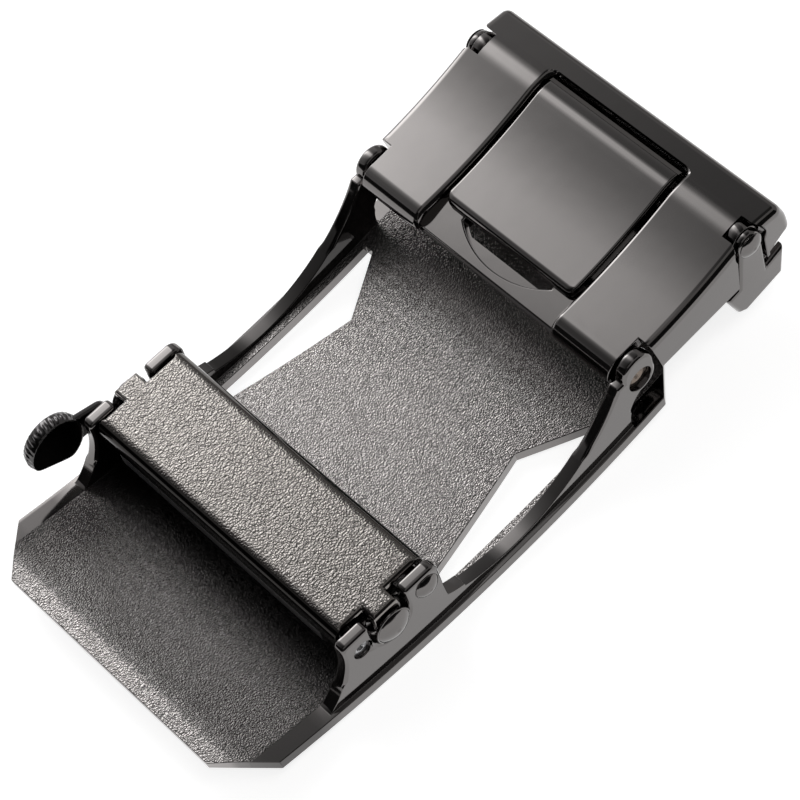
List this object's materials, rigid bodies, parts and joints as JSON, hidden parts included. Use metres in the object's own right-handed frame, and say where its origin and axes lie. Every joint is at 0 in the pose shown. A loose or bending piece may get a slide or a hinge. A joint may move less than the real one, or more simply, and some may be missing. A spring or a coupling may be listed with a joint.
{
  "type": "belt buckle",
  "caption": "Ratchet belt buckle with a bowed face plate, sprung pawl, side release lever and a hinged strap clamp with a flip-up toothed lid.",
  "frame": {"origin": "middle of the belt-entry edge, on the plane that touches the lowest point of the bowed face", "axes": "+X along the belt from the entry edge to the strap clamp, +Y towards the release lever, +Z from the face towards the wearer"},
  "size_m": [0.0778, 0.0422, 0.016],
  "materials": {
    "gunmetal": "polished gunmetal plating",
    "grained_gunmetal": "fine pebble grain, gunmetal plating",
    "black_nickel": "polished black nickel, knurled rim",
    "bare_steel": "plain steel",
    "spring_steel": "drawn wire",
    "bronzed_steel": "bronzed, worn at the edge"
  },
  "bodies": {
    "frame": {"face_plate": "gunmetal", "pawl_axle": "gunmetal", "pawl_axle_washers": "gunmetal", "pawl_spring_left": "spring_steel", "pawl_spring_right": "spring_steel", "anchor_bar": "gunmetal", "hinge_pin_left": "bronzed_steel", "hinge_pin_right": "bronzed_steel"},
    "pawl": {"pawl_cover": "grained_gunmetal", "pawl_blade": "bare_steel"},
    "lever": {"cam_shaft": "bare_steel", "release_lever": "black_nickel"},
    "clamp": {"clamp_casing": "gunmetal", "strap_tray": "gunmetal", "lid_axle": "gunmetal", "lid_axle_collars": "gunmetal", "hinge_washers": "bronzed_steel"},
    "lid": {"clamp_lid": "gunmetal", "bite_plate": "bare_steel", "bite_rivets": "bare_steel"}
  },
  "joints": [
    {"name": "lever_press", "type": "hinge", "parent": "frame", "child": "lever", "pos_m": [0.0177, 0, 0.0081], "axis": [0, -1, 0], "range_deg": [0, 32]},
    {"name": "pawl_lift", "type": "hinge", "parent": "frame", "child": "pawl", "pos_m": [0.0215, 0, 0.008], "axis": [0, 1, 0], "range_deg": [0, 8], "stiffness_Nm_per_rad": 0.02, "springref_deg": -34.38, "deforming": ["pawl_spring_left", "pawl_spring_right"]},
    {"name": "clamp_tilt", "type": "hinge", "parent": "frame", "child": "clamp", "pos_m": [0.05605, 0, 0.00945], "axis": [0, -1, 0], "range_deg": [-15, 4]},
    {"name": "lid_open", "type": "hinge", "parent": "clamp", "child": "lid", "pos_m": [0.07235, 0, 0.01415], "axis": [0, 1, 0], "range_deg": [0, 95]}
  ],
  "couplings": [
    {"joint": "pawl_lift", "follows": "lever_press", "ratio": 0.25}
  ]
}
